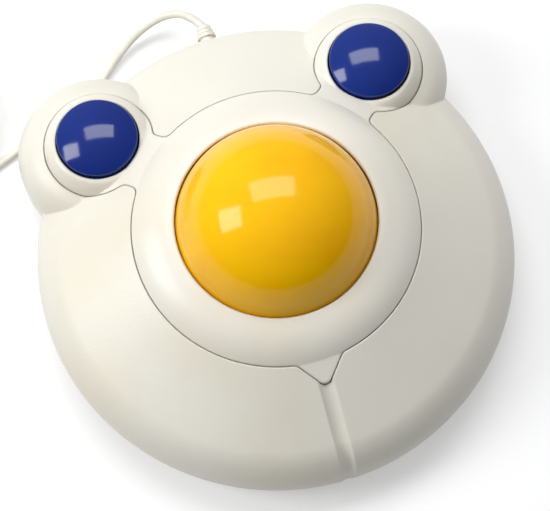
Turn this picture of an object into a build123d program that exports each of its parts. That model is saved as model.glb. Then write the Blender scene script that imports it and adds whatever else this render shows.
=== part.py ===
from build123d import *
import os
from math import asin, atan2, cos, degrees, hypot, pi, radians, sin, sqrt, tan

# Large ball controller: a 3-inch ball turned in place under a ring, two big round
# buttons in raised ears at the back, and a cord. Millimetres, +Z up, +Y to the back.
# The origin lies on the table under the centre of the ball.

# ---------------------------------------------------------------- driving sizes
# Ball and the ring round it
BALL_R = 38.1
BALL_Z = 47.7
BALL_GAP = 0.5
RING_RIM_Z = 57.5
RING_SEAM_R = 53.74
RING_SEAM_Z = 49.8
RING_RIM_SLOPE = 5.0
RING_LIP = 0.7
# Outer form of the body
BODY_R = 93.0
BODY_SLOPE = 29.0
SHOULDER_R = 21.4
WIDEST_Z = 15.3
UNDERCUT_R = 16.0
BASE_Z = 3.0
SPLIT_Z = 11.0
LIP_H = 1.5
LIP_T = 1.2
# Ears
EAR_AT = 55.6
EAR_R = 31.2
EAR_SLOPE = 12.0
EAR_SHOULDER_R = 13.5
EAR_WALL_Z = 25.6
CREASE_R = 3.0
# Walls, seams and clearances
WALL = 2.5
SEAM = 0.3
FLANGE_REACH = 2.4
FLANGE_T = 1.6
FLANGE_LIFT = 0.6
PLATE_R = 74.0
PLATE_T = 4.6
SEAT = 0.05
RUN_CLEAR = 0.05
CURVED_CLEAR = 0.3
# Button lobes of the bezel and the caps
LOBE_AT = 54.3
LOBE_R = 21.04
LOBE_RIM_Z = 45.3
LOBE_SEAM_DROP = 6.2
LOBE_LIP = 1.0
LOBE_RIM_SLOPE = 36.0
NECK_HALF = 11.2
NECK_FILLET = 3.4
BUTTON_HOLE_R = 16.07
CAP_R = 15.4
CAP_SIDE_H = 2.2
CAP_DOME_H = 5.0
CAP_WALL = 2.0
CAP_SKIRT = 8.0
CAP_EDGE = 1.0
TRAVEL = 2.0
STEM_R = 3.0
STEM_ROOT = 1.0
STEM_TIP_R = 1.5
STEM_TIP_L = 3.0
# Nose and front groove
NOSE_TIP_Y = 61.5
NOSE_TIP_R = 3.0
NOSE_ANGLE = 41.0
NOSE_FILLET = 4.0
GROOVE_R = 4.0
GROOVE_DEPTH = 1.3
# Ball support
CUP_GAP = 0.9
CUP_WALL = 2.5
CUP_TOP_Z = 30.0
CUP_FOOT_R = 14.0
CUP_FOOT_H = 3.6
CUP_WINDOW_L = 28.0
CONTACT_ANGLE = 40.0
ROLLER_R = 3.5
ROLLER_L = 12.0
ROLLER_EDGE = 0.6
SHAFT_R = 1.5
SHAFT_L = 62.0
SHAFT_OFFSET = 3.0
WHEEL_R = 10.0
WHEEL_T = 1.2
WHEEL_AT = 30.0
WHEEL_SLOTS = 24
WHEEL_SLOT_W = 1.0
WHEEL_SLOT_L = 3.0
WHEEL_HUB_R = 3.0
WHEEL_HUB_L = 5.0
BRACKET_T = 3.0
BRACKET_W = 8.0
BRACKET_AT = 20.0
BRACKET_END_AT = 25.0
BEARING_R = 5.0
BEARING_T = 4.0
BEARING_BORE_R = 1.5
# Board
BOARD_Z = 7.6
BOARD_T = 1.6
BOARD_HOLE_R = 45.5
BOARD_R = 56.5
BOARD_POST_R = 2.6
BOARD_POST_ANGLES = (-155.0, -65.0, -10.0, 70.0, 170.0)
CHIP_L = 18.0
CHIP_W = 7.0
CHIP_H = 2.6
SOCKET_L = 9.0
SOCKET_W = 6.0
SOCKET_H = 6.5
SENSOR_GAP = 3.2
SENSOR_T = 2.6
SENSOR_W = 5.0
SENSOR_ABOVE = 2.0
SENSOR_OUT = 8.0
# Fasteners and feet
SCREW_R = 1.5
SCREW_HEAD_R = 2.8
SCREW_HEAD_H = 1.8
SCREW_SINK = 3.0
SCREW_BITE = 9.0
BOARD_SCREW_R = 1.0
BOARD_SCREW_HEAD_R = 2.0
BOARD_SCREW_HEAD_H = 1.2
BOSS_R = 4.6
CASE_BOSS_AT = 74.0
CASE_BOSS_ANGLES = (-140.0, -90.0, -40.0, 22.0, 68.0, 112.0, 158.0)
FOOT_R = 8.0
FOOT_SINK = 1.0
FOOT_CLEAR = 0.15
FOOT_CHAMFER = 0.6
FOOT_AT = 66.0
FOOT_ANGLES = (-125.0, -55.0, 45.0, 135.0)
# Switches and their carriers
CARRIER_TOP_Z = 29.0
CARRIER_T = 2.4
CARRIER_L = 38.0
CARRIER_W = 16.0
SHELF_Z = 8.0
SWITCH_L = 20.0
SWITCH_W = 7.0
SWITCH_H = 10.0
CHEEK_L = 4.0
CHEEK_T = 1.2
LEVER_T = 0.4
LEVER_ARM = 10.0
LEVER_TAIL = 2.0
LEVER_PIN_R = 0.8
LEVER_PIN_UP = 3.4
STEM_GAP = 0.2
COLLAR_R = 5.5
COLLAR_T = 2.0
COLLAR_Z = 40.0
SPRING_R = 4.4
SPRING_WIRE = 0.8
SPRING_PITCH = 2.2
# Cord
CORD_R = 1.7
RELIEF_Z = 17.0
RELIEF_BASE_R = 4.3
RELIEF_TIP_R = 2.9
RELIEF_L = 7.0
RELIEF_RIBS = 3
RELIEF_RIB_T = 1.3
RELIEF_NECK_R = 2.5
RELIEF_FLANGE_R = 5.6
RELIEF_FLANGE_T = 1.8
COIL_AT = (-121.0, 96.5)
COIL_MEAN_R = 24.0
COIL_HALF_W = 6.6
COIL_H = 10.6
PLUG_L = 19.0
PLUG_W = 16.0
PLUG_T = 8.0
PLUG_SHELL_L = 12.0
PLUG_SHELL_W = 12.0
PLUG_SHELL_T = 4.5
PLUG_SHEET = 0.4
PLUG_TONGUE_T = 1.8

PARTS = "parts"
os.makedirs(PARTS, exist_ok=True)


def save(piece: Part, name: str) -> None:
    """Label one finished piece and write it as its own STEP file."""
    piece.label = name
    export_step(piece, f"{PARTS}/{name}.step")


# ------------------------------------------------------------- worked-out sizes
slope = radians(BODY_SLOPE)
shoulder_c = BODY_R - SHOULDER_R
undercut_c = BODY_R - UNDERCUT_R
shoulder_start_r = shoulder_c + SHOULDER_R * sin(slope)
shoulder_start_z = WIDEST_Z + SHOULDER_R * cos(slope)
ear_slope = radians(EAR_SLOPE)
ear_c = EAR_R - EAR_SHOULDER_R
ear_start_r = ear_c + EAR_SHOULDER_R * sin(ear_slope)
ear_start_z = EAR_WALL_Z + EAR_SHOULDER_R * cos(ear_slope)
ring_rim_r = sqrt((BALL_R + BALL_GAP) ** 2 - (RING_RIM_Z - BALL_Z) ** 2)
floor_z = BASE_Z + WALL
sides = {"left": -1, "right": 1}


def cone_z(radius: float) -> float:
    """Height of the sloping top of the body at a radius from the ball axis."""
    return shoulder_start_z + (shoulder_start_r - radius) * tan(slope)


def form(inset: float, crease: float = 0.0) -> Part:
    """Outer form of the whole body with its ears, moved inwards by inset."""
    shoulder = SHOULDER_R - inset
    undercut = UNDERCUT_R - inset
    bottom = BASE_Z + inset
    low = asin((WIDEST_Z - bottom) / undercut)
    top_r = shoulder_c + shoulder * sin(slope)
    top_z = WIDEST_Z + shoulder * cos(slope)
    apex_z = top_z + top_r * tan(slope)
    ear_shoulder = EAR_SHOULDER_R - inset
    ear_top_r = ear_c + ear_shoulder * sin(ear_slope)
    ear_top_z = EAR_WALL_Z + ear_shoulder * cos(ear_slope)
    ear_apex_z = ear_top_z + ear_top_r * tan(ear_slope)
    ear_low_c = EAR_R - UNDERCUT_R
    with BuildPart() as whole:
        with BuildSketch(Plane.XZ):
            with BuildLine():
                Polyline((top_r, top_z), (0, apex_z), (0, bottom), (undercut_c + undercut * cos(low), bottom))
                CenterArc((undercut_c, WIDEST_Z), undercut, -degrees(low), degrees(low))
                CenterArc((shoulder_c, WIDEST_Z), shoulder, 0, 90 - BODY_SLOPE)
            make_face()
        revolve(axis=Axis.Z)
        for side in sides.values():
            ear_plane = Plane.XZ.offset(-EAR_AT).shift_origin((side * EAR_AT, EAR_AT, 0))
            with BuildSketch(ear_plane):
                with BuildLine():
                    Polyline(
                        (ear_top_r, ear_top_z), (0, ear_apex_z), (0, bottom),
                        (ear_low_c + undercut * cos(low), bottom),
                    )
                    CenterArc((ear_low_c, WIDEST_Z), undercut, -degrees(low), degrees(low))
                    Line((EAR_R - inset, WIDEST_Z), (EAR_R - inset, EAR_WALL_Z))
                    CenterArc((ear_c, EAR_WALL_Z), ear_shoulder, 0, 90 - EAR_SLOPE)
                make_face()
            revolve(axis=Axis((side * EAR_AT, EAR_AT, 0), (0, 0, 1)))
    return whole.part




def outline(grow: float) -> Sketch:
    """Plan outline of the bezel (ring, two necks, two lobes, nose), grown by an amount."""
    lobe_reach = LOBE_AT * sqrt(2)
    apex_y = NOSE_TIP_Y + NOSE_TIP_R * (1 / sin(radians(NOSE_ANGLE)) - 1)
    nose_half = (apex_y - RING_SEAM_R + NOSE_TIP_R) * tan(radians(NOSE_ANGLE))
    with BuildSketch() as plan:
        Circle(RING_SEAM_R)
        for angle in (45, 135):
            with Locations(Rot(0, 0, angle) * Pos(lobe_reach / 2 + RING_SEAM_R / 4, 0)):
                Rectangle(lobe_reach - RING_SEAM_R / 2, 2 * NECK_HALF)
        with Locations((LOBE_AT, LOBE_AT), (-LOBE_AT, LOBE_AT)):
            Circle(LOBE_R)
        with BuildLine():
            Polyline(
                (-nose_half, -RING_SEAM_R + NOSE_TIP_R), (0, -apex_y),
                (nose_half, -RING_SEAM_R + NOSE_TIP_R), close=True,
            )
        make_face()
        fillet(plan.vertices().sort_by(Axis.Y)[0], radius=NOSE_TIP_R)
        concave = [v for v in plan.vertices() if hypot(v.X, v.Y) > RING_SEAM_R - 1 and v.Y > 0]
        fillet(concave, radius=NECK_FILLET)
        flare = plan.vertices().filter_by(lambda v: v.Y < 0 and abs(hypot(v.X, v.Y) - RING_SEAM_R) < 0.01)
        fillet(flare, radius=NOSE_FILLET)
        if grow:
            offset(amount=grow, kind=Kind.ARC)
    return plan.sketch


def prism(grow: float, low: float, high: float) -> Part:
    """The bezel outline, grown, as an upright block between two heights."""
    with BuildPart() as block:
        with BuildSketch(Plane.XY.offset(low)):
            add(outline(grow))
        extrude(amount=high - low)
    return block.part



# ------------------------------------------------------------------ outer casing
TALL = 90.0
outer_form = form(0, CREASE_R)
inner_form = form(WALL)
under_form = form(WALL + SEAT)
lobe_spots = {name: (side * LOBE_AT, LOBE_AT) for name, side in sides.items()}
boss_spots = [(CASE_BOSS_AT * cos(radians(a)), CASE_BOSS_AT * sin(radians(a))) for a in CASE_BOSS_ANGLES]
foot_spots = [(FOOT_AT * cos(radians(a)), FOOT_AT * sin(radians(a))) for a in FOOT_ANGLES]
post_at = (BOARD_HOLE_R + BOARD_R) / 2
post_spots = [(post_at * cos(radians(a)), post_at * sin(radians(a))) for a in BOARD_POST_ANGLES]
wall_in_y = shoulder_c + sqrt((SHOULDER_R - WALL) ** 2 - (RELIEF_Z + RELIEF_FLANGE_R - WIDEST_Z) ** 2)
relief_in_y = wall_in_y - SEAM - RELIEF_FLANGE_T
relief_out_y = BODY_R + RELIEF_L

with BuildPart() as bosses:
    with BuildSketch(Plane.XY.offset(SPLIT_Z)):
        with Locations(*boss_spots):
            Circle(BOSS_R)
    extrude(amount=TALL)
    add(form(WALL / 2), mode=Mode.INTERSECT)

with BuildPart() as groove_tool:
    lift = GROOVE_R - GROOVE_DEPTH
    reach = SHOULDER_R + lift
    start_y = NOSE_TIP_Y + SEAM - GROOVE_R
    path_start = (-start_y - lift * sin(slope), cone_z(start_y) + lift * cos(slope))
    path_turn = (-shoulder_c - reach * sin(slope), WIDEST_Z + reach * cos(slope))
    path_low = (-shoulder_c - reach, WIDEST_Z)
    with BuildLine(Plane.YZ) as groove_path:
        Line(path_start, path_turn)
        CenterArc((-shoulder_c, WIDEST_Z), reach, 90 + BODY_SLOPE, 90 - BODY_SLOPE)
        Line(path_low, (path_low[0], 0))
    with BuildSketch(Plane(origin=groove_path.line @ 0, z_dir=groove_path.line % 0)):
        Circle(GROOVE_R)
    sweep()

with BuildPart() as top_shell:
    add(outer_form)
    add(inner_form, mode=Mode.SUBTRACT)
    add(bosses.part)
    split(bisect_by=Plane.XY.offset(SPLIT_Z), keep=Keep.TOP)
    add(prism(SEAM, SPLIT_Z, TALL), mode=Mode.SUBTRACT)
    add(groove_tool.part, mode=Mode.SUBTRACT)
    with BuildSketch(Plane.XZ.offset(-relief_in_y)):
        with Locations((0, RELIEF_Z)):
            Circle(RELIEF_BASE_R + SEAM)
    extrude(amount=-WALL * 4, mode=Mode.SUBTRACT)
    with BuildSketch(Plane.XY.offset(SPLIT_Z)):
        with Locations(*boss_spots):
            Circle(SCREW_R + SEAT)
    extrude(amount=SCREW_BITE + 1, mode=Mode.SUBTRACT)
save(top_shell.part, "top_shell")

with BuildPart() as pan_lip:
    add(under_form)
    add(form(WALL + SEAT + LIP_T), mode=Mode.SUBTRACT)
    split(bisect_by=Plane.XY.offset(SPLIT_Z - LIP_H), keep=Keep.TOP)
    split(bisect_by=Plane.XY.offset(SPLIT_Z + LIP_H), keep=Keep.BOTTOM)

with BuildPart() as lip_root:
    add(form(WALL / 2))
    add(form(WALL + SEAT + LIP_T), mode=Mode.SUBTRACT)
    split(bisect_by=Plane.XY.offset(SPLIT_Z - LIP_H), keep=Keep.TOP)
    split(bisect_by=Plane.XY.offset(SPLIT_Z), keep=Keep.BOTTOM)

with BuildPart() as base_pan:
    add(outer_form)
    add(inner_form, mode=Mode.SUBTRACT)
    split(bisect_by=Plane.XY.offset(SPLIT_Z), keep=Keep.BOTTOM)
    add(groove_tool.part, mode=Mode.SUBTRACT)
    with BuildSketch(Plane.XY.offset(BASE_Z + WALL / 2)):
        with Locations(*boss_spots):
            Circle(BOSS_R)
    extrude(amount=SPLIT_Z - BASE_Z - WALL / 2)
    with BuildSketch(Plane.XY.offset(BASE_Z + WALL / 2)):
        with Locations(*post_spots):
            Circle(BOARD_POST_R)
    extrude(amount=BOARD_Z - BASE_Z - WALL / 2)
    add(lip_root.part)
    add(pan_lip.part)
    with BuildSketch(Plane.XZ.offset(SEAM - relief_in_y)):
        with Locations((0, RELIEF_Z)):
            Circle(RELIEF_FLANGE_R + SEAM)
    extrude(amount=-WALL * 4, mode=Mode.SUBTRACT)
    with BuildSketch(Plane.XY.offset(BASE_Z)):
        with Locations(*boss_spots):
            Circle(SCREW_R + SEAT)
    extrude(amount=SPLIT_Z - BASE_Z, mode=Mode.SUBTRACT)
    with BuildSketch(Plane.XY.offset(BASE_Z)):
        with Locations(*boss_spots):
            Circle(SCREW_HEAD_R + SEAT)
    extrude(amount=SCREW_SINK, mode=Mode.SUBTRACT)
    with BuildSketch(Plane.XY.offset(BASE_Z)):
        with Locations(*foot_spots):
            Circle(FOOT_R + FOOT_CLEAR)
    extrude(amount=FOOT_SINK, mode=Mode.SUBTRACT)
    with BuildSketch(Plane.XY.offset(BASE_Z + WALL)):
        with Locations(*post_spots):
            Circle(BOARD_SCREW_R + SEAT)
    extrude(amount=BOARD_Z - BASE_Z - WALL, mode=Mode.SUBTRACT)
save(base_pan.part, "base_pan")

# ---------------------------------------------------------------- bezel and ball
rim_r = ring_rim_r + RING_LIP
rim_slope = radians(RING_RIM_SLOPE)
to_centre = (-sin(rim_slope), -cos(rim_slope))
step = (RING_SEAM_R - rim_r, RING_SEAM_Z - RING_RIM_Z)
bulge_r = (step[0] ** 2 + step[1] ** 2) / (2 * (step[0] * to_centre[0] + step[1] * to_centre[1]))
bulge_c = (rim_r + bulge_r * to_centre[0], RING_RIM_Z + bulge_r * to_centre[1])
seam_angle = degrees(atan2(RING_SEAM_Z - bulge_c[1], RING_SEAM_R - bulge_c[0]))
ball_clear = BALL_R + BALL_GAP
lip_z = RING_RIM_Z - RING_LIP
lip_r = sqrt(ball_clear ** 2 - (lip_z - BALL_Z) ** 2)
lip_angle = degrees(atan2(lip_z - BALL_Z, lip_r))
skirt_z = cone_z(RING_SEAM_R) - PLATE_T / cos(slope) - FLANGE_LIFT
inner_bulge = bulge_r - WALL
inner_bulge_z = bulge_c[1] + sqrt(inner_bulge ** 2 - (ball_clear + WALL - bulge_c[0]) ** 2)
inner_seam_z = bulge_c[1] + sqrt(inner_bulge ** 2 - (RING_SEAM_R - WALL - bulge_c[0]) ** 2)
inner_start = degrees(atan2(inner_seam_z - bulge_c[1], RING_SEAM_R - WALL - bulge_c[0]))
inner_end = degrees(atan2(inner_bulge_z - bulge_c[1], ball_clear + WALL - bulge_c[0]))

flange_low = (WALL + SEAT + FLANGE_T) / cos(slope)
flange_high = (WALL + SEAT) / cos(slope)
flange_r = RING_SEAM_R + FLANGE_REACH
lobe_flange_z = EAR_WALL_Z + sqrt((EAR_SHOULDER_R - WALL) ** 2 - (LOBE_R + FLANGE_REACH - ear_c) ** 2) - SEAM
lobe_low_z = lobe_flange_z - FLANGE_T - FLANGE_LIFT
band_top_r = BUTTON_HOLE_R + LOBE_LIP
lobe_seam_z = LOBE_RIM_Z - LOBE_SEAM_DROP
band_dir = (cos(radians(LOBE_RIM_SLOPE)), -sin(radians(LOBE_RIM_SLOPE)))

with BuildPart() as bezel:
    with BuildSketch(Plane.XZ):
        with BuildLine():
            Polyline(
                (RING_SEAM_R - WALL, cone_z(RING_SEAM_R - WALL)), (PLATE_R, cone_z(PLATE_R)),
                (PLATE_R, cone_z(PLATE_R) - PLATE_T / cos(slope)),
                (RING_SEAM_R - WALL, cone_z(RING_SEAM_R - WALL) - PLATE_T / cos(slope)), close=True,
            )
        make_face()
    revolve(axis=Axis.Z)
    for side in sides.values():
        lobe_plane = Plane(origin=(side * LOBE_AT, LOBE_AT, 0), x_dir=(1, 0, 0), z_dir=(0, -1, 0))
        with BuildSketch(lobe_plane):
            with BuildLine():
                TangentArc((band_top_r, LOBE_RIM_Z), (LOBE_R, lobe_seam_z), tangent=band_dir)
                Polyline(
                    (LOBE_R, lobe_seam_z), (LOBE_R + WALL / 2, lobe_seam_z - WALL), (LOBE_R + WALL / 2, lobe_low_z),
                    (BUTTON_HOLE_R - SEAM, lobe_low_z), (BUTTON_HOLE_R - SEAM, LOBE_RIM_Z),
                    (band_top_r, LOBE_RIM_Z),
                )
            make_face()
        revolve(axis=Axis((side * LOBE_AT, LOBE_AT, 0), (0, 0, 1)))
    with BuildSketch(Plane.XZ):
        with BuildLine():
            CenterArc(bulge_c, bulge_r, seam_angle, 90 - RING_RIM_SLOPE - seam_angle)
            Line((rim_r, RING_RIM_Z), (lip_r, lip_z))
            CenterArc((0, BALL_Z), ball_clear, 0, lip_angle)
            Polyline((ball_clear, BALL_Z), (ball_clear + WALL, BALL_Z), (ball_clear + WALL, inner_bulge_z))
            CenterArc(bulge_c, inner_bulge, inner_start, inner_end - inner_start)
            Polyline(
                (RING_SEAM_R - WALL, inner_seam_z), (RING_SEAM_R - WALL, skirt_z),
                (RING_SEAM_R + WALL / 2, skirt_z), (RING_SEAM_R + WALL / 2, RING_SEAM_Z - WALL),
                (RING_SEAM_R, RING_SEAM_Z),
            )
        make_face()
    revolve(axis=Axis.Z)
    add(prism(0, SPLIT_Z, TALL), mode=Mode.INTERSECT)
    with BuildSketch(Plane.XZ):
        with BuildLine():
            Polyline(
                (RING_SEAM_R - WALL / 2, cone_z(RING_SEAM_R - WALL / 2) - flange_high),
                (flange_r, cone_z(flange_r) - flange_high), (flange_r, cone_z(flange_r) - flange_low),
                (RING_SEAM_R - WALL / 2, cone_z(RING_SEAM_R - WALL / 2) - flange_low), close=True,
            )
        make_face()
    revolve(axis=Axis.Z)
    with BuildSketch(Plane.XY.offset(lobe_low_z + FLANGE_LIFT)):
        with Locations(*lobe_spots.values()):
            Circle(LOBE_R + FLANGE_REACH)
            Circle(BUTTON_HOLE_R + WALL / 2, mode=Mode.SUBTRACT)
    extrude(amount=FLANGE_T)
    with BuildSketch(Plane.XY.offset(SPLIT_Z)):
        with Locations(*lobe_spots.values()):
            Circle(BUTTON_HOLE_R)
    extrude(amount=TALL, mode=Mode.SUBTRACT)
save(bezel.part, "bezel")

with BuildPart() as ball:
    with Locations((0, 0, BALL_Z)):
        Sphere(BALL_R)
save(ball.part, "ball")

# ------------------------------------------------------------------ ball support
contact = radians(CONTACT_ANGLE)
roller_reach = BALL_R + ROLLER_R + CURVED_CLEAR
roller_at = roller_reach * cos(contact)
roller_z = BALL_Z - roller_reach * sin(contact)
bearing_reach = BALL_R + BEARING_R + CURVED_CLEAR
bearing_at = bearing_reach * cos(contact)
bearing_z = BALL_Z - bearing_reach * sin(contact)
roller_turns = {"front": 0.0, "side": 90.0}
wheel_sides = {"front": -1, "side": 1}
BEARING_TURN = 225.0
cup_in = BALL_R + CUP_GAP
cup_out = cup_in + CUP_WALL

with BuildPart() as ball_cup:
    with Locations((0, 0, BALL_Z)):
        Sphere(cup_out)
    split(bisect_by=Plane.XY.offset(CUP_TOP_Z), keep=Keep.BOTTOM)
    with BuildSketch(Plane.XY.offset(floor_z)):
        Circle(CUP_FOOT_R)
    extrude(amount=CUP_FOOT_H)
    with Locations((0, 0, BALL_Z)):
        Sphere(cup_in, mode=Mode.SUBTRACT)
    for turn in (*roller_turns.values(), BEARING_TURN):
        window = Plane(origin=(0, 0, 0), z_dir=(0, 0, 1)).rotated((0, 0, turn))
        with BuildSketch(window.offset(roller_z - ROLLER_R - CUP_WALL)):
            with Locations((0, -roller_at)):
                Rectangle(CUP_WINDOW_L, 2 * (ROLLER_R + CUP_WALL))
        extrude(amount=CUP_TOP_Z, mode=Mode.SUBTRACT)
save(ball_cup.part, "ball_cup")

for spot, turn in roller_turns.items():
    side = wheel_sides[spot]
    shaft_mid = side * SHAFT_OFFSET

    with BuildPart() as encoder_shaft:
        with BuildSketch(Plane.YZ.offset(shaft_mid - SHAFT_L / 2)):
            with Locations((-roller_at, roller_z)):
                Circle(SHAFT_R)
        extrude(amount=SHAFT_L)
    save(encoder_shaft.part.rotate(Axis.Z, turn), f"encoder_shaft_{spot}")

    with BuildPart() as roller:
        with BuildSketch(Plane.YZ.offset(-ROLLER_L / 2)):
            with Locations((-roller_at, roller_z)):
                Circle(ROLLER_R)
                Circle(SHAFT_R, mode=Mode.SUBTRACT)
        extrude(amount=ROLLER_L)
        rims = roller.edges().filter_by(GeomType.CIRCLE)
        fillet(rims.filter_by(lambda e: e.radius > SHAFT_R + SEAT), radius=ROLLER_EDGE)
    save(roller.part.rotate(Axis.Z, turn), f"roller_{spot}")

    with BuildPart() as encoder_wheel:
        with BuildSketch(Plane.YZ.offset(side * WHEEL_AT - WHEEL_T / 2)):
            with Locations((-roller_at, roller_z)):
                Circle(WHEEL_R)
                Circle(SHAFT_R, mode=Mode.SUBTRACT)
                with PolarLocations(WHEEL_R - WHEEL_SLOT_L, WHEEL_SLOTS):
                    Rectangle(WHEEL_SLOT_L, WHEEL_SLOT_W, mode=Mode.SUBTRACT)
        extrude(amount=WHEEL_T)
        with BuildSketch(Plane.YZ.offset(side * WHEEL_AT - WHEEL_HUB_L / 2)):
            with Locations((-roller_at, roller_z)):
                Circle(WHEEL_HUB_R)
                Circle(SHAFT_R, mode=Mode.SUBTRACT)
        extrude(amount=WHEEL_HUB_L)
    save(encoder_wheel.part.rotate(Axis.Z, turn), f"encoder_wheel_{spot}")

    with BuildPart() as shaft_brackets:
        for place in (-side * BRACKET_END_AT, side * BRACKET_AT):
            with BuildSketch(Plane.YZ.offset(place - BRACKET_T / 2)):
                with Locations((-roller_at, (floor_z + roller_z) / 2)):
                    Rectangle(BRACKET_W, roller_z - floor_z)
                with Locations((-roller_at, roller_z)):
                    Circle(BRACKET_W / 2)
                    Circle(SHAFT_R + RUN_CLEAR, mode=Mode.SUBTRACT)
            extrude(amount=BRACKET_T)
    save(shaft_brackets.part.rotate(Axis.Z, turn), f"shaft_brackets_{spot}")

    with BuildPart() as emitter:
        with BuildSketch(Plane.XY.offset(BOARD_Z + BOARD_T)):
            with Locations((side * (WHEEL_AT + SENSOR_GAP / 2 + SENSOR_T / 2), -roller_at - SENSOR_OUT)):
                Rectangle(SENSOR_T, SENSOR_W)
        extrude(amount=roller_z + SENSOR_ABOVE - BOARD_Z - BOARD_T)
    save(emitter.part.rotate(Axis.Z, turn), f"light_emitter_{spot}")

    with BuildPart() as sensor:
        with BuildSketch(Plane.XY.offset(BOARD_Z + BOARD_T)):
            with Locations((side * (WHEEL_AT - SENSOR_GAP / 2 - SENSOR_T / 2), -roller_at - SENSOR_OUT)):
                Rectangle(SENSOR_T, SENSOR_W)
        extrude(amount=roller_z + SENSOR_ABOVE - BOARD_Z - BOARD_T)
    save(sensor.part.rotate(Axis.Z, turn), f"light_sensor_{spot}")

with BuildPart() as bearing_wheel:
    with BuildSketch(Plane.YZ.offset(-BEARING_T / 2)):
        with Locations((-bearing_at, bearing_z)):
            Circle(BEARING_R)
            Circle(BEARING_BORE_R + RUN_CLEAR, mode=Mode.SUBTRACT)
    extrude(amount=BEARING_T)
save(bearing_wheel.part.rotate(Axis.Z, BEARING_TURN), "bearing_wheel")

with BuildPart() as bearing_bracket:
    for place in (-1, 1):
        cheek_at = place * (BEARING_T / 2 + CURVED_CLEAR + BRACKET_T / 2)
        with BuildSketch(Plane.YZ.offset(cheek_at - BRACKET_T / 2)):
            with Locations((-bearing_at, (floor_z + bearing_z) / 2)):
                Rectangle(BRACKET_W, bearing_z - floor_z)
            with Locations((-bearing_at, bearing_z)):
                Circle(BRACKET_W / 2)
                Circle(BEARING_BORE_R, mode=Mode.SUBTRACT)
        extrude(amount=BRACKET_T)
    with BuildSketch(Plane.XY.offset(floor_z)):
        with Locations((0, -bearing_at)):
            Rectangle(BEARING_T + 2 * BRACKET_T, BRACKET_W)
    extrude(amount=BRACKET_T)
save(bearing_bracket.part.rotate(Axis.Z, BEARING_TURN), "bearing_bracket")

with BuildPart() as bearing_pin:
    with BuildSketch(Plane.YZ.offset(-BEARING_T / 2 - CURVED_CLEAR - BRACKET_T)):
        with Locations((-bearing_at, bearing_z)):
            Circle(BEARING_BORE_R)
    extrude(amount=BEARING_T + 2 * CURVED_CLEAR + 2 * BRACKET_T)
save(bearing_pin.part.rotate(Axis.Z, BEARING_TURN), "bearing_pin")

# ------------------------------------------------------------------------- board
board_top = BOARD_Z + BOARD_T
with BuildPart() as main_board:
    with BuildSketch(Plane.XY.offset(BOARD_Z)):
        Circle(BOARD_R)
        Circle(BOARD_HOLE_R, mode=Mode.SUBTRACT)
        with Locations(*post_spots):
            Circle(BOARD_SCREW_R + SEAT, mode=Mode.SUBTRACT)
    extrude(amount=BOARD_T)
save(main_board.part, "main_board")

with BuildPart() as board_screws:
    for plane, radius, height in (
        (Plane.XY.offset(board_top), BOARD_SCREW_HEAD_R, BOARD_SCREW_HEAD_H),
        (Plane.XY.offset(BASE_Z + WALL), BOARD_SCREW_R, board_top - BASE_Z - WALL),
    ):
        with BuildSketch(plane):
            with Locations(*post_spots):
                Circle(radius)
        extrude(amount=height)
save(board_screws.part, "board_screws")

with BuildPart() as controller_chip:
    with BuildSketch(Plane.XY.offset(board_top)):
        with Locations((0, -post_at)):
            Rectangle(CHIP_L, CHIP_W)
    extrude(amount=CHIP_H)
save(controller_chip.part, "controller_chip")

with BuildPart() as cable_socket:
    with BuildSketch(Plane.XY.offset(board_top)):
        with Locations((0, post_at)):
            Rectangle(SOCKET_L, SOCKET_W)
    extrude(amount=SOCKET_H)
save(cable_socket.part, "cable_socket")

# ----------------------------------------------------------------- feet, screws
with BuildPart() as rubber_feet:
    with BuildSketch():
        with Locations(*foot_spots):
            Circle(FOOT_R)
    extrude(amount=BASE_Z + FOOT_SINK)
    chamfer(rubber_feet.faces().filter_by(Axis.Z).group_by(Axis.Z)[0].edges(), length=FOOT_CHAMFER)
save(rubber_feet.part, "rubber_feet")

with BuildPart() as case_screws:
    with BuildSketch(Plane.XY.offset(BASE_Z + SCREW_SINK - SCREW_HEAD_H)):
        with Locations(*boss_spots):
            Circle(SCREW_HEAD_R)
    extrude(amount=SCREW_HEAD_H)
    with BuildSketch(Plane.XY.offset(BASE_Z + SCREW_SINK)):
        with Locations(*boss_spots):
            Circle(SCREW_R)
    extrude(amount=SPLIT_Z + SCREW_BITE - BASE_Z - SCREW_SINK)
save(case_screws.part, "case_screws")

# ----------------------------------------------------------------------- buttons
cap_side_z = LOBE_RIM_Z + CAP_SIDE_H
cap_skirt_z = LOBE_RIM_Z - CAP_SKIRT
dome_r = (CAP_R ** 2 + CAP_DOME_H ** 2) / (2 * CAP_DOME_H)
dome_c = cap_side_z + CAP_DOME_H - dome_r
under_top = dome_c + sqrt((dome_r - CAP_WALL) ** 2 - (CAP_R - CAP_WALL) ** 2)
plate_z = CARRIER_TOP_Z - CARRIER_T
switch_z = SHELF_Z + CARRIER_T
pin_z = switch_z + SWITCH_H + LEVER_PIN_UP
lever_top = pin_z + LEVER_T / 2
stem_end = lever_top + STEM_GAP

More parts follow.
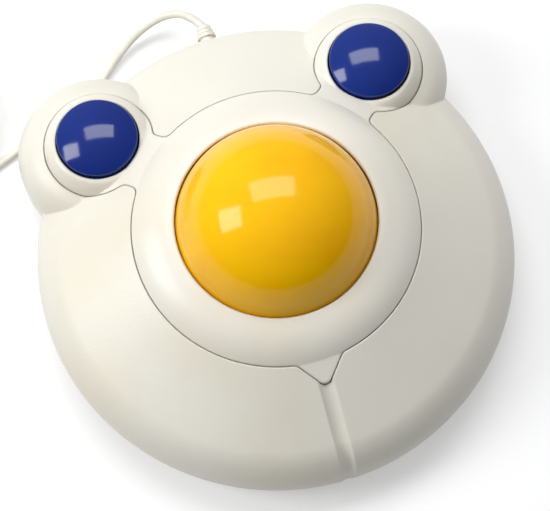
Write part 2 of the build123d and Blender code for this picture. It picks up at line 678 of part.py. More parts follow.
for name, (at_x, at_y) in lobe_spots.items():
    outward = atan2(at_y, at_x)
    radial = (cos(outward), sin(outward), 0)
    upright = Plane(origin=(at_x, at_y, 0), x_dir=radial, z_dir=(sin(outward), -cos(outward), 0))
    flat = Plane(origin=(at_x, at_y, 0), x_dir=radial, z_dir=(0, 0, 1))
    centre = Axis((at_x, at_y, 0), (0, 0, 1))

    with BuildPart() as button_cap:
        with BuildSketch(upright):
            with BuildLine():
                Line((0, stem_end), (0, cap_side_z + CAP_DOME_H))
                RadiusArc((0, cap_side_z + CAP_DOME_H), (CAP_R, cap_side_z), dome_r)
                Polyline(
                    (CAP_R, cap_side_z), (CAP_R, cap_skirt_z), (CAP_R - CAP_WALL, cap_skirt_z),
                    (CAP_R - CAP_WALL, under_top),
                )
                Polyline(
                    (CAP_R - CAP_WALL, under_top), (STEM_R, dome_c + dome_r - CAP_WALL - STEM_ROOT),
                    (STEM_R, COLLAR_Z + COLLAR_T), (COLLAR_R, COLLAR_Z + COLLAR_T), (COLLAR_R, COLLAR_Z),
                    (STEM_R, COLLAR_Z), (STEM_R, stem_end + STEM_TIP_L),
                    (STEM_TIP_R, stem_end + STEM_TIP_L), (STEM_TIP_R, stem_end), (0, stem_end),
                )
            make_face()
        revolve(axis=centre)
        rim = button_cap.edges().filter_by(GeomType.CIRCLE).filter_by(lambda e: abs(e.radius - CAP_R) < SEAT)
        fillet(rim.sort_by(Axis.Z)[-1], radius=CAP_EDGE)
    save(button_cap.part, f"button_cap_{name}")

    with BuildPart() as button_spring:
        coil = Helix(SPRING_PITCH, COLLAR_Z - CARRIER_TOP_Z - SPRING_WIRE - 2 * SEAT, SPRING_R)
        wire_path = Pos(at_x, at_y, CARRIER_TOP_Z + SPRING_WIRE / 2 + SEAT) * coil
        with BuildSketch(Plane(origin=wire_path @ 0, z_dir=wire_path % 0)):
            Rectangle(SPRING_WIRE, SPRING_WIRE)
        sweep(path=wire_path, is_frenet=True)
    save(button_spring.part, f"button_spring_{name}")

    with BuildPart() as switch_carrier:
        with BuildSketch(upright.offset(-CARRIER_W / 2)):
            with Locations((0, (floor_z + CARRIER_TOP_Z) / 2)):
                Rectangle(CARRIER_L, CARRIER_TOP_Z - floor_z)
            with Locations((0, (switch_z + plate_z) / 2)):
                Rectangle(CARRIER_L - 2 * CARRIER_T, plate_z - switch_z, mode=Mode.SUBTRACT)
            with Locations((0, (floor_z + SHELF_Z) / 2)):
                Rectangle(CARRIER_L - 2 * CARRIER_T, SHELF_Z - floor_z, mode=Mode.SUBTRACT)
        extrude(amount=CARRIER_W)
        with BuildSketch(flat.offset(plate_z)):
            Circle(STEM_R + RUN_CLEAR)
        extrude(amount=CARRIER_T, mode=Mode.SUBTRACT)
    save(switch_carrier.part, f"switch_carrier_{name}")

    with BuildPart() as switch_body:
        with BuildSketch(flat.offset(switch_z)):
            with Locations((-LEVER_ARM / 2, 0)):
                Rectangle(SWITCH_L, SWITCH_W)
        extrude(amount=SWITCH_H)
        for side in sides.values():
            with BuildSketch(upright.offset(side * (SWITCH_W - CHEEK_T) / 2 - CHEEK_T / 2)):
                with Locations((-LEVER_ARM, switch_z + SWITCH_H + LEVER_PIN_UP / 2)):
                    Rectangle(CHEEK_L, LEVER_PIN_UP)
                with Locations((-LEVER_ARM, pin_z)):
                    Circle(CHEEK_L / 2)
                    Circle(LEVER_PIN_R + RUN_CLEAR, mode=Mode.SUBTRACT)
            extrude(amount=CHEEK_T)
    save(switch_body.part, f"switch_body_{name}")

    with BuildPart() as switch_lever:
        lever_w = SWITCH_W - 2 * CHEEK_T - 2 * SEAM
        with BuildSketch(upright.offset(-lever_w / 2)):
            with Locations(((LEVER_TAIL - LEVER_ARM) / 2, pin_z)):
                Rectangle(LEVER_ARM + LEVER_TAIL, LEVER_T)
        extrude(amount=lever_w)
        with BuildSketch(upright.offset(-SWITCH_W / 2)):
            with Locations((-LEVER_ARM, pin_z)):
                Circle(LEVER_PIN_R)
        extrude(amount=SWITCH_W)
    save(switch_lever.part, f"switch_lever_{name}")

# -------------------------------------------------------------------------- cord
rib_step = RELIEF_L / (RELIEF_RIBS + 1)
with BuildPart() as strain_relief:
    for start_y, end_y, start_r, end_r in (
        (relief_in_y, relief_in_y + RELIEF_FLANGE_T, RELIEF_FLANGE_R, RELIEF_FLANGE_R),
        (relief_in_y, BODY_R, RELIEF_BASE_R, RELIEF_BASE_R),
        (BODY_R, relief_out_y, RELIEF_NECK_R + SEAM, RELIEF_NECK_R),
    ):
        with BuildSketch(Plane.XZ.offset(-start_y)):
            with Locations((0, RELIEF_Z)):
                Circle(start_r)
        with BuildSketch(Plane.XZ.offset(-end_y)):
            with Locations((0, RELIEF_Z)):
                Circle(end_r)
        loft()
    for rib in range(RELIEF_RIBS):
        rib_r = RELIEF_BASE_R + (RELIEF_TIP_R - RELIEF_BASE_R) * (rib + 1) / RELIEF_RIBS
        with BuildSketch(Plane.XZ.offset(-BODY_R - rib_step * (rib + 1))):
            with Locations((0, RELIEF_Z)):
                Circle(rib_r)
        extrude(amount=-RELIEF_RIB_T)
save(strain_relief.part, "strain_relief")


def cord(points: list, name: str) -> None:
    """One uncoiled stretch of cord: straight runs joined by the widest tangent arcs."""
    route = [Vector(*point) for point in points]
    radii = []
    for before, here, after in zip(route, route[1:], route[2:]):
        turn = (here - before).get_angle(after - here)
        shorter = min((here - before).length, (after - here).length)
        radii.append(0.45 * shorter / tan(radians(turn) / 2))
    with BuildPart() as stretch:
        with BuildLine() as path:
            FilletPolyline(*route, radius=radii)
        with BuildSketch(Plane(origin=path.line @ 0, z_dir=path.line % 0)):
            Circle(CORD_R)
        sweep()
    length = sum(edge.length for edge in path.line.edges())
    ratio = stretch.part.volume / (pi * CORD_R ** 2 * length)
    print(f"{name}: length {length:.1f}, volume ratio {ratio:.4f}, radii {[round(r, 1) for r in radii]}")
    save(stretch.part, name)


lay_z = CORD_R + SEAT
socket_z = board_top + SOCKET_H / 2
coil_x, coil_y = COIL_AT
cord(
    [
        (0, relief_out_y, RELIEF_Z), (-3.5, 108, 15.8), (-13.5, 113.2, 11.5), (-27.5, 110.2, 6.2),
        (-39.5, 101.6, 2.6), (-50.5, 91.2, lay_z), (-64, 86.4, lay_z), (-77.5, 80.2, lay_z),
        (-92, 74.2, lay_z), (-107, 71.4, lay_z), (coil_x, coil_y - COIL_MEAN_R, lay_z),
    ],
    "cable_tube",
)
cord(
    [
        (0, relief_in_y, RELIEF_Z), (0, relief_in_y - 10, RELIEF_Z), (0, relief_in_y - 21, socket_z),
        (0, post_at + SOCKET_W / 2, socket_z),
    ],
    "inner_lead",
)
cord(
    [
        (coil_x - COIL_MEAN_R, coil_y, lay_z), (coil_x - COIL_MEAN_R - 0.5, coil_y + 12, lay_z),
        (coil_x - 22, coil_y + 30, lay_z), (coil_x - 9.5, coil_y + 40, lay_z),
    ],
    "cable_tail",
)
with BuildPart() as cable_coil:
    with BuildSketch(Plane.XZ.offset(-coil_y)):
        with Locations((coil_x + COIL_MEAN_R, COIL_H / 2 + SEAT)):
            RectangleRounded(2 * COIL_HALF_W, COIL_H, CORD_R)
    revolve(axis=Axis((coil_x, coil_y, 0), (0, 0, 1)))
save(cable_coil.part, "cable_coil")

tail_end = Vector(coil_x - 9.5, coil_y + 40, 0)
tail_way = Vector(10, 8, 0).normalized()
plug_plane = Plane(origin=tail_end, x_dir=(0, 0, 1), z_dir=tail_way)
with BuildPart() as plug_grip:
    with BuildSketch(plug_plane):
        with Locations((PLUG_T / 2, 0)):
            RectangleRounded(PLUG_T, PLUG_W, CORD_R)
    extrude(amount=PLUG_L)
save(plug_grip.part, "plug_grip")

with BuildPart() as plug_shell:
    with BuildSketch(plug_plane.offset(PLUG_L)):
        with Locations((PLUG_T / 2, 0)):
            Rectangle(PLUG_SHELL_T, PLUG_SHELL_W)
            Rectangle(PLUG_SHELL_T - 2 * PLUG_SHEET, PLUG_SHELL_W - 2 * PLUG_SHEET, mode=Mode.SUBTRACT)
    extrude(amount=PLUG_SHELL_L)
save(plug_shell.part, "plug_shell")

with BuildPart() as plug_tongue:
    with BuildSketch(plug_plane.offset(PLUG_L)):
        with Locations((PLUG_T / 2 + PLUG_SHELL_T / 2 - PLUG_SHEET - PLUG_TONGUE_T / 2, 0)):
            Rectangle(PLUG_TONGUE_T, PLUG_SHELL_W - 2 * PLUG_SHEET)
    extrude(amount=PLUG_SHELL_L - PLUG_SHEET)
save(plug_tongue.part, "plug_tongue")
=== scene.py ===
"""Large ball controller: round body, three-inch ball, two big buttons in raised ears, and its cord.

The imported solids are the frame. The classes below add the surfaces, finishes, cord and studio.
"""

import logging
import math
from dataclasses import dataclass
from enum import Enum
from typing import Iterable, Sequence

import bmesh
import bpy
from mathutils import Matrix, Vector


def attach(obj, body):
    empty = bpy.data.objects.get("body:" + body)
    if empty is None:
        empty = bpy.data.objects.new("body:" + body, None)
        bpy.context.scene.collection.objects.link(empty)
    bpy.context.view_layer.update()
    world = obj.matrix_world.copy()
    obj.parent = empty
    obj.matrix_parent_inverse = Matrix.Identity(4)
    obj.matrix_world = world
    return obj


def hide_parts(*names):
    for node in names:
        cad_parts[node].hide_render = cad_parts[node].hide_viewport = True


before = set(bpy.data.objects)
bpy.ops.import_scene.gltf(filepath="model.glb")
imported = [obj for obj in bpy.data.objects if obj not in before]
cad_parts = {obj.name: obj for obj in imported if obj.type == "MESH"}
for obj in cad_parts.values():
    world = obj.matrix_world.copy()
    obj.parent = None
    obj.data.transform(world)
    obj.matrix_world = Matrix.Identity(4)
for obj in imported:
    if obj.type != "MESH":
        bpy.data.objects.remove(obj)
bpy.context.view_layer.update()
LOG = logging.getLogger("ball_controller")
MM = 0.001
SIDES = ("left", "right")
ENCODERS = ("front", "side")

# Vertices closer than this are one, and edges that turn by more degrees than this get rounded.
WELD = 0.004 * MM
CREASE = 38.0


class Body(Enum):
    """The moving bodies that the pieces ride on."""

    HOUSING = "housing"
    BALL = "ball"


class Grain(Enum):
    """How coarse the moulded texture of a plastic is: pattern scale and bump depth."""

    POLISHED = (900.0, 0.02)
    SATIN = (2600.0, 0.10)
    SPARK = (1500.0, 0.22)


# ------------------------------------------------------------------- finishes
def linear(colour: Sequence[float]) -> tuple[float, float, float, float]:
    """Turns a display colour into the shader's linear one.

    Args:
        colour: Red, green and blue from 0 to 1 as they look on a display.

    Returns:
        Red, green, blue and full opacity in linear light.
    """
    parts = [c / 12.92 if c <= 0.04045 else ((c + 0.055) / 1.055) ** 2.4 for c in colour]
    return (parts[0], parts[1], parts[2], 1.0)


class NodeSheet:
    """A new material with its Principled shader, and short ways to add nodes to it."""

    def __init__(self, name: str) -> None:
        """Starts the material.

        Args:
            name: Name of the finish.
        """
        self.material = bpy.data.materials.new(name)
        self.material.use_nodes = True
        self.tree = self.material.node_tree
        self.shader = self.tree.nodes["Principled BSDF"]
        self.place = self.tree.nodes.new("ShaderNodeTexCoord").outputs["Object"]

    def noise(
        self, scale: float, detail: float = 3.0, stretch: Sequence[float] = (1, 1, 1)
    ) -> bpy.types.NodeSocket:
        """Adds a noise pattern in the object's own metres.

        Args:
            scale: Pattern repeats per metre.
            detail: Octaves of finer noise.
            stretch: Factors along the three axes.

        Returns:
            The noise value's socket.
        """
        mapping = self.tree.nodes.new("ShaderNodeMapping")
        mapping.inputs["Scale"].default_value = stretch
        node = self.tree.nodes.new("ShaderNodeTexNoise")
        node.inputs["Scale"].default_value = scale
        node.inputs["Detail"].default_value = detail
        self.tree.links.new(self.place, mapping.inputs["Vector"])
        self.tree.links.new(mapping.outputs["Vector"], node.inputs["Vector"])
        return node.outputs["Fac"]

    def ramp(
        self, value: bpy.types.NodeSocket, stops: Sequence[tuple[float, Sequence[float]]]
    ) -> bpy.types.NodeSocket:
        """Maps a value to colours.

        Args:
            value: The socket that drives the ramp.
            stops: Positions with display colours, two or more.

        Returns:
            The colour socket.
        """
        node = self.tree.nodes.new("ShaderNodeValToRGB")
        marks = node.color_ramp.elements
        while len(marks) < len(stops):
            marks.new(0.5)
        for mark, (where, colour) in zip(marks, stops):
            mark.position = where
            mark.color = linear(colour)
        self.tree.links.new(value, node.inputs["Fac"])
        return node.outputs["Color"]

    def spread(self, value: bpy.types.NodeSocket, low: float, high: float) -> bpy.types.NodeSocket:
        """Maps a pattern to a range of numbers.

        Args:
            value: The pattern's socket.
            low: Result at 0.
            high: Result at 1.

        Returns:
            The number's socket.
        """
        node = self.tree.nodes.new("ShaderNodeMapRange")
        node.inputs["To Min"].default_value = low
        node.inputs["To Max"].default_value = high
        self.tree.links.new(value, node.inputs["Value"])
        return node.outputs["Result"]

    def bump(self, height: bpy.types.NodeSocket, strength: float, depth: float) -> None:
        """Roughens the surface, on top of any earlier bump.

        Args:
            height: The pattern's socket.
            strength: Share of the effect.
            depth: Depth in metres.
        """
        node = self.tree.nodes.new("ShaderNodeBump")
        node.inputs["Strength"].default_value = strength
        node.inputs["Distance"].default_value = depth
        self.tree.links.new(height, node.inputs["Height"])
        earlier = self.shader.inputs["Normal"].links
        if earlier:
            self.tree.links.new(earlier[0].from_socket, node.inputs["Normal"])
        self.tree.links.new(node.outputs["Normal"], self.shader.inputs["Normal"])

    def soften(self, radius: float) -> None:
        """Rounds the shading of sharp edges, before any bump.

        Args:
            radius: Radius of the rounding in metres.
        """
        node = self.tree.nodes.new("ShaderNodeBevel")
        node.samples = 6
        node.inputs["Radius"].default_value = radius
        self.tree.links.new(node.outputs["Normal"], self.shader.inputs["Normal"])

    def feed(self, socket: str, value: bpy.types.NodeSocket) -> None:
        """Links a pattern to one of the shader's sockets."""
        self.tree.links.new(value, self.shader.inputs[socket])

    def fix(self, **values: float) -> None:
        """Sets constants on the shader, named with underscores for spaces."""
        for name, value in values.items():
            self.shader.inputs[name.replace("_", " ")].default_value = value


@dataclass(frozen=True)
class MouldedPlastic:
    """Moulded plastic: soft colour variation, fine grain, uneven gloss and light handling marks."""

    name: str
    colour: tuple[float, float, float]
    roughness: float = 0.35
    grain: Grain = Grain.SATIN
    mottling: float = 0.02
    coat: float = 0.0
    ageing: tuple[float, float, float] = (0.0, -0.01, -0.035)
    softness: float = 0.0

    def build(self) -> bpy.types.Material:
        """Makes the material."""
        sheet = NodeSheet(self.name)
        if self.softness:
            sheet.soften(self.softness)
        light = [min(1.0, c + self.mottling) for c in self.colour]
        aged = [min(1.0, max(0.0, c + a - self.mottling)) for c, a in zip(self.colour, self.ageing)]
        cloud = sheet.noise(scale=14.0, detail=4.0)
        stops = [(0.34, aged), (0.5, self.colour), (0.68, light)]
        sheet.feed("Base Color", sheet.ramp(cloud, stops))
        smudge = sheet.noise(scale=55.0, detail=5.0)
        sheet.feed("Roughness", sheet.spread(smudge, self.roughness - 0.05, self.roughness + 0.07))
        scale, depth = self.grain.value
        sheet.bump(sheet.noise(scale, detail=2.0), strength=0.35, depth=depth * MM)
        sheet.bump(sheet.noise(scale=120.0, detail=2.0), strength=0.06, depth=0.25 * MM)
        sheet.fix(IOR=1.49, Coat_Weight=self.coat, Coat_Roughness=0.06)
        return sheet.material


@dataclass(frozen=True)
class CastResin:
    """Polished resin of the ball: deep even colour, faint swirls, and hairline scuffs."""

    name: str
    colour: tuple[float, float, float]
    deep: tuple[float, float, float]
    roughness: float = 0.1

    def build(self) -> bpy.types.Material:
        """Makes the material."""
        sheet = NodeSheet(self.name)
        swirl = sheet.noise(30.0, 4.0, (1.0, 1.6, 0.8))
        sheet.feed("Base Color", sheet.ramp(swirl, [(0.3, self.deep), (0.62, self.colour)]))
        scuff = sheet.noise(420.0, 6.0, (1.0, 0.12, 0.6))
        sheet.feed("Roughness", sheet.spread(scuff, self.roughness - 0.05, self.roughness + 0.06))
        sheet.bump(sheet.noise(scale=90.0, detail=2.0), strength=0.05, depth=0.2 * MM)
        sheet.fix(IOR=1.5, Specular_IOR_Level=0.3)
        return sheet.material


@dataclass(frozen=True)
class WorkedMetal:
    """Steel or brass with drawn lines and uneven polish."""

    name: str
    colour: tuple[float, float, float]
    roughness: float = 0.3

    def build(self) -> bpy.types.Material:
        """Makes the material."""
        sheet = NodeSheet(self.name)
        lines = sheet.noise(900.0, 3.0, (1.0, 0.06, 0.4))
        dark = [c * 0.82 for c in self.colour]
        sheet.feed("Base Color", sheet.ramp(lines, [(0.35, dark), (0.65, self.colour)]))
        sheet.feed("Roughness", sheet.spread(lines, self.roughness - 0.08, self.roughness + 0.12))
        sheet.bump(lines, strength=0.12, depth=0.05 * MM)
        sheet.fix(Metallic=1.0)
        return sheet.material


@dataclass(frozen=True)
class SoftRubber:
    """Matt rubber or flexible vinyl with a dusty bloom."""

    name: str
    colour: tuple[float, float, float]
    roughness: float = 0.62

    def build(self) -> bpy.types.Material:
        """Makes the material."""
        sheet = NodeSheet(self.name)
        bloom = sheet.noise(180.0, 5.0)
        pale = [min(1.0, c + 0.045) for c in self.colour]
        sheet.feed("Base Color", sheet.ramp(bloom, [(0.38, self.colour), (0.72, pale)]))
        sheet.feed("Roughness", sheet.spread(bloom, self.roughness - 0.08, self.roughness + 0.1))
        sheet.bump(sheet.noise(scale=1900.0, detail=2.0), strength=0.25, depth=0.12 * MM)
        sheet.fix(IOR=1.5)
        return sheet.material


@dataclass(frozen=True)
class CircuitBoard:
    """Green board with a woven core showing faintly through its mask."""

    name: str
    colour: tuple[float, float, float]

    def build(self) -> bpy.types.Material:
        """Makes the material."""
        sheet = NodeSheet(self.name)
        weave = sheet.noise(1300.0, 1.0, (1.0, 0.2, 1.0))
        light = [min(1.0, c + 0.06) for c in self.colour]
        sheet.feed("Base Color", sheet.ramp(weave, [(0.4, self.colour), (0.6, light)]))
        sheet.bump(weave, strength=0.1, depth=0.05 * MM)
        sheet.fix(Roughness=0.35, Coat_Weight=0.4)
        return sheet.material


# --------------------------------------------------------------------- shaping
def mesh_piece(
    name: str, work: bmesh.types.BMesh, finish: bpy.types.Material, sharp: float = 40.0
) -> bpy.types.Object:
    """Turns worked geometry into a smooth-shaded object.

    Args:
        name: Name of the piece.
        work: The geometry, which is freed.
        finish: Its material.
        sharp: Edges that turn by more than these degrees stay crisp.

    Returns:
        The new object.
    """
    bmesh.ops.recalc_face_normals(work, faces=work.faces)
    mesh = bpy.data.meshes.new(name)
    work.to_mesh(mesh)
    work.free()
    mesh.shade_smooth()
    mesh.set_sharp_from_angle(angle=math.radians(sharp))
    mesh.materials.append(finish)
    piece = bpy.data.objects.new(name, mesh)
    bpy.context.scene.collection.objects.link(piece)
    return piece


def dress(names: Iterable[str], finish: bpy.types.Material) -> None:
    """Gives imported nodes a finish.

    Args:
        names: The nodes.
        finish: Their material.
    """
    for name in names:
        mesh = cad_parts[name].data
        mesh.materials.clear()
        mesh.materials.append(finish)
        LOG.info("dressed %s with %s", name, finish.name)


def named(stems: Iterable[str], ends: Iterable[str]) -> list[str]:
    """Lists the node names that join each stem with each ending."""
    return [f"{stem}_{end}" for stem in stems for end in ends]


def softened(
    node: str, name: str, finish: bpy.types.Material, width: float, body: Body = Body.HOUSING
) -> bpy.types.Object:
    """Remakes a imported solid's skin with rounded edges, as a mould leaves them, in its place.

    Args:
        node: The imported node.
        name: Name of the new piece.
        finish: Its material.
        width: Width of the rounding.
        body: The body that it rides on.

    Returns:
        The new object.
    """
    work = bmesh.new()
    work.from_mesh(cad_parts[node].data)
    bmesh.ops.remove_doubles(work, verts=work.verts, dist=WELD)
    bmesh.ops.dissolve_degenerate(work, edges=work.edges, dist=WELD)
    piece = mesh_piece(name, work, finish, CREASE)
    rounding = piece.modifiers.new("rounding", "BEVEL")
    rounding.width = width
    rounding.segments = 3
    rounding.limit_method = "ANGLE"
    rounding.angle_limit = math.radians(CREASE)
    rounding.use_clamp_overlap = True
    rounding.miter_outer = "MITER_ARC"
    evened = piece.modifiers.new("evened normals", "WEIGHTED_NORMAL")
    evened.keep_sharp = True
    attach(piece, body.value)
    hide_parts(node)
    LOG.info("built %s", name)
    return piece


# ------------------------------------------------------------------ assemblies
@dataclass
class Casing:
    """Top shell, bezel and base of the body."""

    edge: float = 0.5 * MM

    shell: MouldedPlastic = MouldedPlastic(
        "shell plastic", (0.905, 0.89, 0.845), roughness=0.36, grain=Grain.SPARK, mottling=0.012,
        softness=1.0 * MM,
    )
    bezel: MouldedPlastic = MouldedPlastic(
        "bezel plastic", (0.915, 0.9, 0.86), roughness=0.3, mottling=0.01, softness=1.4 * MM
    )
    inside: MouldedPlastic = MouldedPlastic("inner plastic", (0.8, 0.79, 0.76), roughness=0.5)

    def build(self) -> None:
        """Dresses the casing's nodes."""
        shell = self.shell.build()
        dress(["base_pan"], shell)
        softened("top_shell", "shell_skin", shell, self.edge)
        softened("bezel", "bezel_skin", self.bezel.build(), self.edge)
        dress(["ball_cup", "bearing_bracket"], self.inside.build())


@dataclass
class ControlBall:
    """The three-inch ball."""

    radius: float = 38.1 * MM
    height: float = 47.7 * MM
    finish: CastResin = CastResin("ball resin", (1.0, 0.76, 0.0), (0.985, 0.71, 0.0))

    def build(self) -> None:
        """Makes the ball and sets it on its body."""
        work = bmesh.new()
        centre = Matrix.Translation((0, 0, self.height))
        bmesh.ops.create_icosphere(work, subdivisions=6, radius=self.radius, matrix=centre)
        piece = mesh_piece("control_ball", work, self.finish.build())
        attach(piece, Body.BALL.value)
        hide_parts("ball")
        LOG.info("built %s", piece.name)


@dataclass
class Buttons:
    """Both push buttons."""

    finish: MouldedPlastic = MouldedPlastic(
        "cap plastic", (0.0, 0.15, 0.49), roughness=0.1, grain=Grain.POLISHED, mottling=0.008,
        ageing=(0.0, -0.01, -0.01),
    )

    def build(self) -> None:
        """Dresses the two caps."""
        dress(named(["button_cap"], SIDES), self.finish.build())


@dataclass
class Cord:
    """The free cord: out of its relief, round the left ear, and into a put-away coil."""

    diameter: float = 3.4 * MM
    lay: float = 1.75 * MM
    coil_at: tuple[float, float] = (-121.0 * MM, 96.5 * MM)
    coil_radius: float = 24.0 * MM
    lane: float = 3.3 * MM
    layer: float = 3.4 * MM
    lanes_out: float = 4.9 * MM
    turns: float = 9.25
    climb: float = 0.25
    steps: int = 16
    curve_fit: float = 0.67
    exit: tuple[float, float, float] = (0.0, 0.1, 0.017)
    route: tuple[tuple[float, float, float], ...] = (
        (0, 100, 17), (-3.5, 108, 15.8), (-13.5, 113.2, 11.5), (-27.5, 110.2, 6.2),
        (-39.5, 101.6, 2.6), (-50.5, 91.2, 1.75), (-64, 86.4, 1.75), (-77.5, 80.2, 1.75),
        (-92, 74.2, 1.75), (-106, 68.5, 1.75),
    )
    tail: tuple[tuple[float, float, float], ...] = (
        (-147.5, 108, 6.0), (-145, 119, 3.6), (-141, 128, 3.0), (-130.5, 136.5, 4.0),
    )
    jacket: SoftRubber = SoftRubber("cord jacket", (0.9, 0.885, 0.84), 0.42)

    def offset_and_height(self, turn: float) -> tuple[float, float]:
        """Gives the coil's lane and layer after some turns.

        Args:
            turn: Turns from where the cord joins the coil.

        Returns:
            Distance outside the mean radius, and height of the centreline.
        """
        wide = 2 * self.lanes_out / self.lane
        climb = self.climb
        # Turns, distance outside the mean radius, and layer.
        marks = [
            (0.0, self.lanes_out, 0.0), (wide, -self.lanes_out, 0.0), (wide + climb, -self.lanes_out, 1.0),
            (2 * wide + climb, self.lanes_out, 1.0),
            (2 * wide + 2 * climb, self.lanes_out, 2.0),
            (8.8, self.lanes_out - 2.3 * self.lane, 2.0), (9.0, 0.0, 2.9),
            (9.125, self.lanes_out, 2.9), (self.turns, self.lanes_out + self.lane, 2.1),
        ]
        for (t0, o0, z0), (t1, o1, z1) in zip(marks, marks[1:]):
            if turn <= t1:
                share = (turn - t0) / (t1 - t0)
                return o0 + (o1 - o0) * share, self.lay + (z0 + (z1 - z0) * share) * self.layer
        return marks[-1][1], self.lay + marks[-1][2] * self.layer

    def line(self) -> list[Vector]:
        """Lists the control points of the whole cord, in metres."""
        points = [Vector(p) * MM for p in self.route]
        # The curve runs inside its control points, so they stand a little further out.
        fit = 1 / math.cos(math.pi / self.steps) ** self.curve_fit
        centre_x, centre_y = self.coil_at
        for i in range(1, int(self.turns * self.steps) + 1):
            turn = i / self.steps
            out, height = self.offset_and_height(turn)
            angle = -math.pi / 2 - 2 * math.pi * turn
            reach = (self.coil_radius + out) * fit
            x, y = centre_x + reach * math.cos(angle), centre_y + reach * math.sin(angle)
            points.append(Vector((x, y, height)))
        return points + [Vector(p) * MM for p in self.tail]

    def build(self) -> None:
        jacket = self.jacket.build()
        curve = bpy.data.curves.new("cord", "CURVE")
        curve.dimensions = "3D"
        curve.bevel_depth = self.diameter / 2
        curve.bevel_resolution = 6
        curve.resolution_u = 8
        curve.use_fill_caps = True
        spline = curve.splines.new("NURBS")
        line = self.line()
        spline.points.add(len(line) - 1)
        for point, place in zip(spline.points, line):
            point.co = (*place, 1.0)
        spline.order_u = 3
        spline.use_endpoint_u = True
        curve.materials.append(jacket)
        cord = bpy.data.objects.new("cord", curve)
        bpy.context.scene.collection.objects.link(cord)
        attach(cord, Body.HOUSING.value)
        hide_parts("cable_tube", "cable_coil", "cable_tail")
        dress(["strain_relief", "plug_grip", "inner_lead"], jacket)
        sheet_metal = WorkedMetal("plug sheet", (0.78, 0.78, 0.76), roughness=0.28)
        tongue = MouldedPlastic("plug tongue plastic", (0.1, 0.1, 0.11), roughness=0.4)
        dress(["plug_shell"], sheet_metal.build())
        dress(["plug_tongue"], tongue.build())
        LOG.info("built %s", cord.name)


@dataclass
class Innards:
    """Ball support, encoders, switches, board, feet and screws."""

    def build(self) -> None:
        """Dresses the nodes below the shell."""
        steel = WorkedMetal("bright steel", (0.72, 0.72, 0.72), roughness=0.28).build()
        black = MouldedPlastic("black plastic", (0.06, 0.06, 0.065), roughness=0.42).build()
        grey = MouldedPlastic("carrier plastic", (0.78, 0.77, 0.74), roughness=0.48).build()
        cream = MouldedPlastic("connector plastic", (0.86, 0.83, 0.74), roughness=0.4).build()
        dress(["bearing_pin", "board_screws", "case_screws"], steel)
        dress(named(["encoder_shaft"], ENCODERS), steel)
        dress(named(["encoder_wheel", "light_emitter", "light_sensor"], ENCODERS), black)
        dress(named(["shaft_brackets"], ENCODERS), grey)
        dress(named(["switch_carrier"], SIDES), grey)
        dress(named(["switch_body"], SIDES) + ["controller_chip"], black)
        dress(named(["switch_lever", "button_spring"], SIDES), steel)
        dress(["bearing_wheel", "cable_socket"], cream)
        roller = SoftRubber("roller rubber", (0.16, 0.16, 0.17))
        foot = SoftRubber("foot rubber", (0.13, 0.13, 0.14), roughness=0.7)
        dress(named(["roller"], ENCODERS), roller.build())
        dress(["rubber_feet"], foot.build())
        dress(["main_board"], CircuitBoard("board mask", (0.03, 0.24, 0.12)).build())


# ---------------------------------------------------------------------- studio
@dataclass(frozen=True)
class SoftBox:
    """One large soft lamp."""

    name: str
    place: tuple[float, float, float]
    aim: tuple[float, float, float]
    size: tuple[float, float]
    power: float

    def build(self) -> None:
        """Hangs the lamp."""
        lamp = bpy.data.lights.new(self.name, "AREA")
        lamp.shape = "RECTANGLE"
        lamp.size, lamp.size_y = self.size
        lamp.energy = self.power
        holder = bpy.data.objects.new(self.name, lamp)
        holder.location = self.place
        towards = Vector(self.aim) - Vector(self.place)
        holder.rotation_euler = towards.to_track_quat("-Z", "Y").to_euler()
        bpy.context.scene.collection.objects.link(holder)


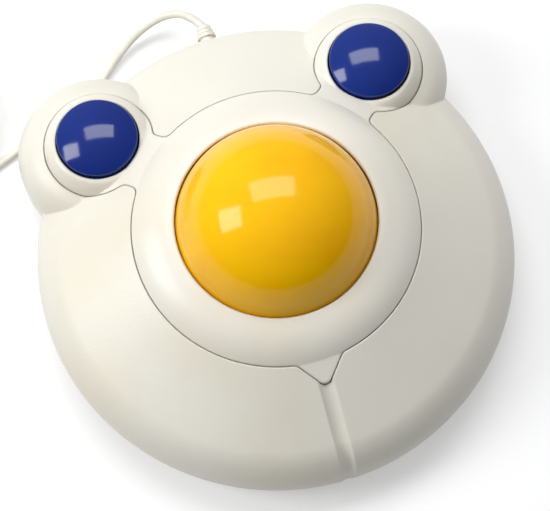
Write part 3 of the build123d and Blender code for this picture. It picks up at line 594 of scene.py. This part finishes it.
@dataclass
class Studio:
    """Camera, floor, surroundings and lamps."""

    lens: float = 107.67
    camera_at: tuple[float, float, float] = (-58.5, -182.0, 629.3)
    azimuth: float = -17.7
    elevation: float = 72.8
    roll: float = 0.5
    sensor: float = 36.0
    fill: tuple[float, float] = (0.02, 0.58)
    fill_edge: float = -0.5
    fill_from: tuple[float, float, float] = (-0.15, 0.62, 0.77)
    floor_lift: float = 0.34
    lamps: tuple[SoftBox, ...] = (
        SoftBox("left soft box", (-0.70, 0.16, 0.62), aim=(0, 0, 0.04), size=(0.34, 0.42), power=3.5),
        SoftBox("back soft box", (0.06, 0.42, 0.92), aim=(0, 0, 0.04), size=(0.80, 0.40), power=5.2),
    )

    def camera(self) -> None:
        """Sets the camera."""
        data = bpy.data.cameras.new("camera")
        data.lens = self.lens
        data.sensor_width = self.sensor
        data.clip_start = 0.01
        data.clip_end = 20.0
        holder = bpy.data.objects.new("camera", data)
        az, el, roll = (math.radians(a) for a in (self.azimuth, self.elevation, self.roll))
        back = Vector((math.sin(az) * math.cos(el), -math.cos(az) * math.cos(el), math.sin(el)))
        right = (-back).cross(Vector((0, 0, 1))).normalized()
        up = right.cross(-back)
        right_turned = right * math.cos(roll) + up * math.sin(roll)
        up_turned = up * math.cos(roll) - right * math.sin(roll)
        turn = Matrix((right_turned, up_turned, back)).transposed()
        holder.matrix_world = Matrix.Translation(Vector(self.camera_at) * MM) @ turn.to_4x4()
        bpy.context.scene.collection.objects.link(holder)
        bpy.context.scene.camera = holder

    def seen_directly(self, tree: bpy.types.NodeTree) -> bpy.types.NodeSocket:
        """Adds nodes that tell a ray that the viewer sees, straight or in a gloss or glass.

        Args:
            tree: The node tree to add them to.

        Returns:
            A socket that is 1 for such a ray.
        """
        path = tree.nodes.new("ShaderNodeLightPath")
        first = tree.nodes.new("ShaderNodeMath")
        first.operation = "MAXIMUM"
        second = tree.nodes.new("ShaderNodeMath")
        second.operation = "MAXIMUM"
        tree.links.new(path.outputs["Is Camera Ray"], first.inputs[0])
        tree.links.new(path.outputs["Is Transmission Ray"], first.inputs[1])
        tree.links.new(first.outputs[0], second.inputs[0])
        tree.links.new(path.outputs["Is Glossy Ray"], second.inputs[1])
        return second.outputs[0]

    def surroundings(self) -> None:
        """Lights the world, white where the viewer sees it."""
        world = bpy.data.worlds.new("surroundings")
        world.use_nodes = True
        bpy.context.scene.world = world
        tree = world.node_tree
        lit = tree.nodes["Background"]
        lit.inputs["Color"].default_value = (0.97, 0.985, 1.0, 1.0)
        way = tree.nodes.new("ShaderNodeTexCoord")
        facing = tree.nodes.new("ShaderNodeVectorMath")
        facing.operation = "DOT_PRODUCT"
        facing.inputs[1].default_value = self.fill_from
        shade = tree.nodes.new("ShaderNodeMapRange")
        shade.inputs["From Min"].default_value = self.fill_edge
        shade.inputs["To Min"].default_value = self.fill[0]
        shade.inputs["To Max"].default_value = self.fill[1]
        tree.links.new(way.outputs["Generated"], facing.inputs[0])
        tree.links.new(facing.outputs["Value"], shade.inputs["Value"])
        tree.links.new(shade.outputs["Result"], lit.inputs["Strength"])
        shown = tree.nodes.new("ShaderNodeBackground")
        shown.inputs["Color"].default_value = (1.0, 1.0, 1.0, 1.0)
        path = tree.nodes.new("ShaderNodeLightPath")
        mix = tree.nodes.new("ShaderNodeMixShader")
        tree.links.new(path.outputs["Is Camera Ray"], mix.inputs[0])
        tree.links.new(lit.outputs[0], mix.inputs[1])
        tree.links.new(shown.outputs[0], mix.inputs[2])
        tree.links.new(mix.outputs[0], tree.nodes["World Output"].inputs["Surface"])

    def floor(self) -> None:
        """Lays the pale floor, which shows white and keeps the shadow."""
        work = bmesh.new()
        bmesh.ops.create_grid(work, x_segments=2, y_segments=2, size=4.0)
        sheet = NodeSheet("pale table")
        tint = sheet.ramp(sheet.noise(6.0, 2.0), [(0.3, (0.84, 0.84, 0.84)), (0.7, (0.86, 0.86, 0.86))])
        sheet.feed("Base Color", tint)
        sheet.fix(Roughness=0.8)
        glow = sheet.tree.nodes.new("ShaderNodeMath")
        glow.operation = "MULTIPLY"
        glow.inputs[1].default_value = self.floor_lift
        sheet.tree.links.new(self.seen_directly(sheet.tree), glow.inputs[0])
        sheet.shader.inputs["Emission Color"].default_value = (1, 1, 1, 1)
        sheet.feed("Emission Strength", glow.outputs[0])
        mesh_piece("floor", work, sheet.material)

    def build(self) -> None:
        """Sets up the whole studio."""
        self.camera()
        self.surroundings()
        self.floor()
        for lamp in self.lamps:
            lamp.build()
        view = bpy.context.scene.view_settings
        view.view_transform = "Standard"
        LOG.info("studio ready")


def main() -> None:
    """Builds the studio, the cord and every sub-assembly in order."""
    logging.basicConfig(level=logging.INFO, format="%(message)s")
    Studio().build()
    Cord().build()
    for assembly in (Casing(), ControlBall(), Buttons(), Innards()):
        assembly.build()
        LOG.info("finished %s", type(assembly).__name__)


if __name__ == "__main__":
    main()
